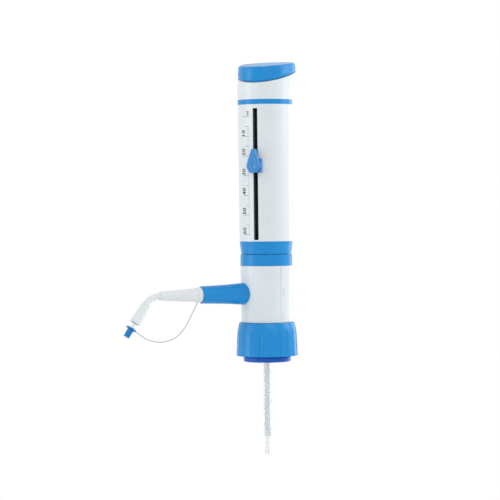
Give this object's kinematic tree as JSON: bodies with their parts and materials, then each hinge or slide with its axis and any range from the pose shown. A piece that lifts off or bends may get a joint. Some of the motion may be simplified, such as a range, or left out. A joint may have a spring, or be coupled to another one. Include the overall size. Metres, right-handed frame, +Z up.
{
  "type": "bottle-top dispenser",
  "caption": "Bottle-top dispenser with a lift-up piston housing, slotted volume scale and pointer knob, side spout with tethered cap, fluted collar nut and telescopic filling tube.",
  "frame": {"origin": "centre of the bottle thread's mouth, on the bottom face of the thread adapter", "axes": "+Z up along the dispenser's axis, the spout points along -X"},
  "size_m": [0.1793, 0.0601, 0.3824],
  "materials": {
    "blue": "moulded blue polypropylene, satin",
    "white": "moulded white plastic, smooth",
    "deep_blue": "moulded deep blue, smooth",
    "black": "black moulded strip",
    "dark_guard": "dark moulded tube",
    "ptfe": "machined white fluoropolymer",
    "frosted": "translucent moulded tube",
    "clear_tube": "thin translucent tube",
    "glass": "clear borosilicate",
    "ceramic": "ground ceramic ball",
    "steel": "plain",
    "rubber": "elastomer seal",
    "gasket": "soft white seal"
  },
  "bodies": {
    "body": {"valve_block": "ptfe", "suction_seat": "ptfe", "suction_cage": "ptfe", "discharge_seat": "ptfe", "discharge_cage": "ptfe", "filling_tube_upper": "clear_tube", "body_shell_left": "white", "body_shell_right": "white", "body_ring": "blue", "glass_barrel": "glass", "barrel_oring": "rubber", "barrel_guard": "dark_guard", "stop_ring": "dark_guard", "bottle_gasket": "gasket", "nozzle_coupling": "blue"},
    "plunger_unit": {"top_cap": "blue", "head_sleeve": "white", "accent_band": "blue", "scale_housing": "white", "slot_liner": "black", "housing_end_ring": "blue", "piston_rod": "ptfe", "rod_nut": "steel", "piston": "ptfe", "piston_seal_lower": "rubber", "piston_seal_upper": "rubber"},
    "volume_pointer": {"pointer_block": "blue", "stop_shoe": "steel", "clamp_screw": "steel"},
    "pointer_lever": {"clamp_lever": "blue"},
    "collar": {"collar_nut": "blue", "thread_adapter": "deep_blue"},
    "spout": {"jet_sleeve": "frosted", "elbow_tube": "frosted", "spout_sleeve": "frosted", "discharge_tube": "clear_tube", "tether_ring": "frosted", "tether": "clear_tube"},
    "outlet_cap": {"spout_cap": "blue"},
    "suction_tube": {"filling_tube_lower": "clear_tube"},
    "inlet_ball": {"suction_ball": "ceramic"},
    "outlet_ball": {"discharge_ball": "ceramic"}
  },
  "joints": [
    {"name": "plunger_lift", "type": "slide", "parent": "body", "child": "plunger_unit", "axis": [0, 0, 1], "range_m": [0, 0.11301]},
    {"name": "pointer_slide", "type": "slide", "parent": "plunger_unit", "child": "volume_pointer", "axis": [0, 0, 1], "range_m": [-0.06592, 0.03767]},
    {"name": "lever_turn", "type": "hinge", "parent": "volume_pointer", "child": "pointer_lever", "pos_m": [0, 0, 0.1888], "axis": [-0.7314, -0.682, 0], "range_deg": [0, 70]},
    {"name": "collar_turn", "type": "hinge", "parent": "body", "child": "collar", "pos_m": [0, 0, 0], "axis": [0, 0, 1], "continuous": true},
    {"name": "spout_swivel", "type": "hinge", "parent": "body", "child": "spout", "pos_m": [0, 0, 0.066], "axis": [-1, 0, 0], "range_deg": [-180, 180]},
    {"name": "cap_pull", "type": "slide", "parent": "spout", "child": "outlet_cap", "axis": [-0.5621, 0, -0.8271], "range_m": [0, 0.012]},
    {"name": "tube_extend", "type": "slide", "parent": "body", "child": "suction_tube", "axis": [0, 0, -1], "range_m": [0, 0.075]},
    {"name": "inlet_ball_lift", "type": "slide", "parent": "body", "child": "inlet_ball", "axis": [0, 0, 1], "range_m": [0, 0.0012]},
    {"name": "outlet_ball_lift", "type": "slide", "parent": "body", "child": "outlet_ball", "axis": [-1, 0, 0], "range_m": [0, 0.0012]}
  ]
}
